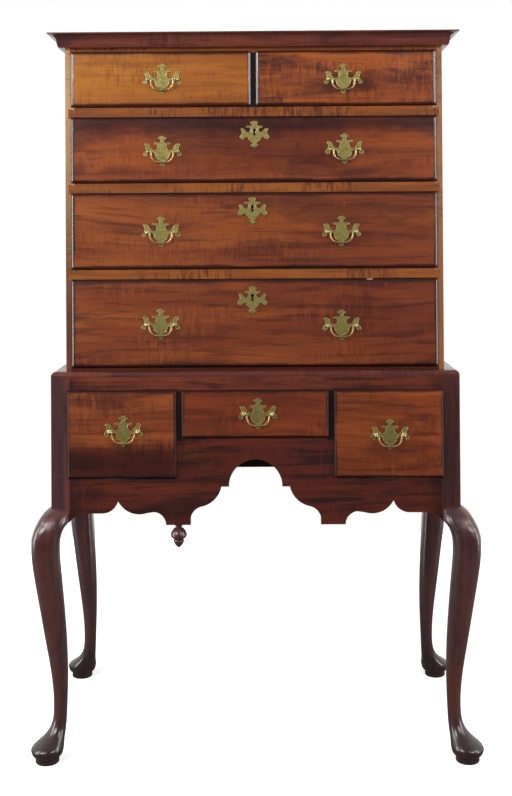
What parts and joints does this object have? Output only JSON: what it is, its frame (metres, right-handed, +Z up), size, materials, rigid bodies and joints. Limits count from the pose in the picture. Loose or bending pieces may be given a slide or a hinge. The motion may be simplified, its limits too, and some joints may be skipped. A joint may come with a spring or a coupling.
{
  "type": "highboy chest of drawers",
  "caption": "Flat-topped highboy: an upper chest of lipped drawers on a lower case with shaped skirt and cabriole legs, brass bail pulls.",
  "frame": {"origin": "on the floor, below the middle of the lower case", "axes": "+Z up, +X to the right as seen from the front, the front faces -Y"},
  "size_m": [1.0764, 0.6044, 1.74],
  "materials": {
    "case_wood": "varnished figured cherry",
    "drawer_front_wood": "varnished cherry",
    "dark_wood": "dark varnish",
    "secondary_wood": "bare planed pine",
    "brass": "dull aged brass",
    "iron": "dark forged iron"
  },
  "bodies": {
    "lower_case": {"leg_front_right": "dark_wood", "leg_rear_right": "dark_wood", "leg_front_left": "dark_wood", "leg_rear_left": "dark_wood", "lower_end_board_right": "case_wood", "lower_end_board_left": "case_wood", "front_apron": "case_wood", "lower_back_board": "secondary_wood", "lower_front_rail_and_dividers": "case_wood", "lower_runners_and_dust_board": "secondary_wood", "waist_moulding": "dark_wood", "drop_finial": "dark_wood"},
    "upper_case": {"upper_side_right": "case_wood", "upper_side_left": "case_wood", "upper_top_and_bottom_boards": "secondary_wood", "upper_back_boards": "secondary_wood", "upper_blades_and_divider": "case_wood", "upper_drawer_runners": "secondary_wood", "cornice_moulding": "dark_wood"},
    "low_drawer": {"low_drawer_box": "secondary_wood", "low_drawer_front": "drawer_front_wood", "low_drawer_brasses": "brass", "low_drawer_lock": "iron"},
    "low_drawer_bail_left": {"low_drawer_bail_left": "brass"},
    "low_drawer_bail_right": {"low_drawer_bail_right": "brass"},
    "low_drawer_lock_bolt": {"low_drawer_lock_bolt": "iron"},
    "middle_drawer": {"middle_drawer_box": "secondary_wood", "middle_drawer_front": "drawer_front_wood", "middle_drawer_brasses": "brass", "middle_drawer_lock": "iron"},
    "middle_drawer_bail_left": {"middle_drawer_bail_left": "brass"},
    "middle_drawer_bail_right": {"middle_drawer_bail_right": "brass"},
    "middle_drawer_lock_bolt": {"middle_drawer_lock_bolt": "iron"},
    "high_drawer": {"high_drawer_box": "secondary_wood", "high_drawer_front": "drawer_front_wood", "high_drawer_brasses": "brass", "high_drawer_lock": "iron"},
    "high_drawer_bail_left": {"high_drawer_bail_left": "brass"},
    "high_drawer_bail_right": {"high_drawer_bail_right": "brass"},
    "high_drawer_lock_bolt": {"high_drawer_lock_bolt": "iron"},
    "small_drawer_left": {"small_drawer_left_box": "secondary_wood", "small_drawer_left_front": "drawer_front_wood", "small_drawer_left_brasses": "brass"},
    "small_drawer_left_bail": {"small_drawer_left_bail": "brass"},
    "small_drawer_right": {"small_drawer_right_box": "secondary_wood", "small_drawer_right_front": "drawer_front_wood", "small_drawer_right_brasses": "brass"},
    "small_drawer_right_bail": {"small_drawer_right_bail": "brass"},
    "lower_drawer_left": {"lower_drawer_left_box": "secondary_wood", "lower_drawer_left_front": "drawer_front_wood", "lower_drawer_left_brasses": "brass"},
    "lower_drawer_left_bail": {"lower_drawer_left_bail": "brass"},
    "lower_drawer_centre": {"lower_drawer_centre_box": "secondary_wood", "lower_drawer_centre_front": "drawer_front_wood", "lower_drawer_centre_brasses": "brass"},
    "lower_drawer_centre_bail": {"lower_drawer_centre_bail": "brass"},
    "lower_drawer_right": {"lower_drawer_right_box": "secondary_wood", "lower_drawer_right_front": "drawer_front_wood", "lower_drawer_right_brasses": "brass"},
    "lower_drawer_right_bail": {"lower_drawer_right_bail": "brass"}
  },
  "joints": [
    {"name": "upper_case_lift", "type": "slide", "parent": "lower_case", "child": "upper_case", "axis": [0, 0, 1], "range_m": [0, 0.1]},
    {"name": "low_drawer_slide", "type": "slide", "parent": "upper_case", "child": "low_drawer", "axis": [0, -1, 0], "range_m": [0, 0.35]},
    {"name": "low_drawer_bail_left_hinge", "type": "hinge", "parent": "low_drawer", "child": "low_drawer_bail_left", "pos_m": [-0.227, -0.2465, 1.036], "axis": [-1, 0, 0], "range_deg": [-10, 165]},
    {"name": "low_drawer_bail_right_hinge", "type": "hinge", "parent": "low_drawer", "child": "low_drawer_bail_right", "pos_m": [0.21, -0.2465, 1.0315], "axis": [-1, 0, 0], "range_deg": [-10, 165]},
    {"name": "low_drawer_lock_bolt_slide", "type": "slide", "parent": "low_drawer", "child": "low_drawer_lock_bolt", "axis": [0, 0, 1], "range_m": [0, 0.008]},
    {"name": "middle_drawer_slide", "type": "slide", "parent": "upper_case", "child": "middle_drawer", "axis": [0, -1, 0], "range_m": [0, 0.35]},
    {"name": "middle_drawer_bail_left_hinge", "type": "hinge", "parent": "middle_drawer", "child": "middle_drawer_bail_left", "pos_m": [-0.225, -0.2465, 1.259], "axis": [-1, 0, 0], "range_deg": [-10, 165]},
    {"name": "middle_drawer_bail_right_hinge", "type": "hinge", "parent": "middle_drawer", "child": "middle_drawer_bail_right", "pos_m": [0.2105, -0.2465, 1.258], "axis": [-1, 0, 0], "range_deg": [-10, 165]},
    {"name": "middle_drawer_lock_bolt_slide", "type": "slide", "parent": "middle_drawer", "child": "middle_drawer_lock_bolt", "axis": [0, 0, 1], "range_m": [0, 0.008]},
    {"name": "high_drawer_slide", "type": "slide", "parent": "upper_case", "child": "high_drawer", "axis": [0, -1, 0], "range_m": [0, 0.35]},
    {"name": "high_drawer_bail_left_hinge", "type": "hinge", "parent": "high_drawer", "child": "high_drawer_bail_left", "pos_m": [-0.221, -0.2465, 1.454], "axis": [-1, 0, 0], "range_deg": [-10, 165]},
    {"name": "high_drawer_bail_right_hinge", "type": "hinge", "parent": "high_drawer", "child": "high_drawer_bail_right", "pos_m": [0.2195, -0.2465, 1.457], "axis": [-1, 0, 0], "range_deg": [-10, 165]},
    {"name": "high_drawer_lock_bolt_slide", "type": "slide", "parent": "high_drawer", "child": "high_drawer_lock_bolt", "axis": [0, 0, 1], "range_m": [0, 0.008]},
    {"name": "small_drawer_left_slide", "type": "slide", "parent": "upper_case", "child": "small_drawer_left", "axis": [0, -1, 0], "range_m": [0, 0.35]},
    {"name": "small_drawer_left_bail_hinge", "type": "hinge", "parent": "small_drawer_left", "child": "small_drawer_left_bail", "pos_m": [-0.2205, -0.2465, 1.6285], "axis": [-1, 0, 0], "range_deg": [-10, 165]},
    {"name": "small_drawer_right_slide", "type": "slide", "parent": "upper_case", "child": "small_drawer_right", "axis": [0, -1, 0], "range_m": [0, 0.35]},
    {"name": "small_drawer_right_bail_hinge", "type": "hinge", "parent": "small_drawer_right", "child": "small_drawer_right_bail", "pos_m": [0.2175, -0.2465, 1.6265], "axis": [-1, 0, 0], "range_deg": [-10, 165]},
    {"name": "lower_drawer_left_slide", "type": "slide", "parent": "lower_case", "child": "lower_drawer_left", "axis": [0, -1, 0], "range_m": [0, 0.35]},
    {"name": "lower_drawer_left_bail_hinge", "type": "hinge", "parent": "lower_drawer_left", "child": "lower_drawer_left_bail", "pos_m": [-0.3155, -0.2715, 0.7825], "axis": [-1, 0, 0], "range_deg": [-10, 165]},
    {"name": "lower_drawer_centre_slide", "type": "slide", "parent": "lower_case", "child": "lower_drawer_centre", "axis": [0, -1, 0], "range_m": [0, 0.35]},
    {"name": "lower_drawer_centre_bail_hinge", "type": "hinge", "parent": "lower_drawer_centre", "child": "lower_drawer_centre_bail", "pos_m": [0.0065, -0.2715, 0.823], "axis": [-1, 0, 0], "range_deg": [-10, 165]},
    {"name": "lower_drawer_right_slide", "type": "slide", "parent": "lower_case", "child": "lower_drawer_right", "axis": [0, -1, 0], "range_m": [0, 0.35]},
    {"name": "lower_drawer_right_bail_hinge", "type": "hinge", "parent": "lower_drawer_right", "child": "lower_drawer_right_bail", "pos_m": [0.3215, -0.2715, 0.772], "axis": [-1, 0, 0], "range_deg": [-10, 165]}
  ]
}
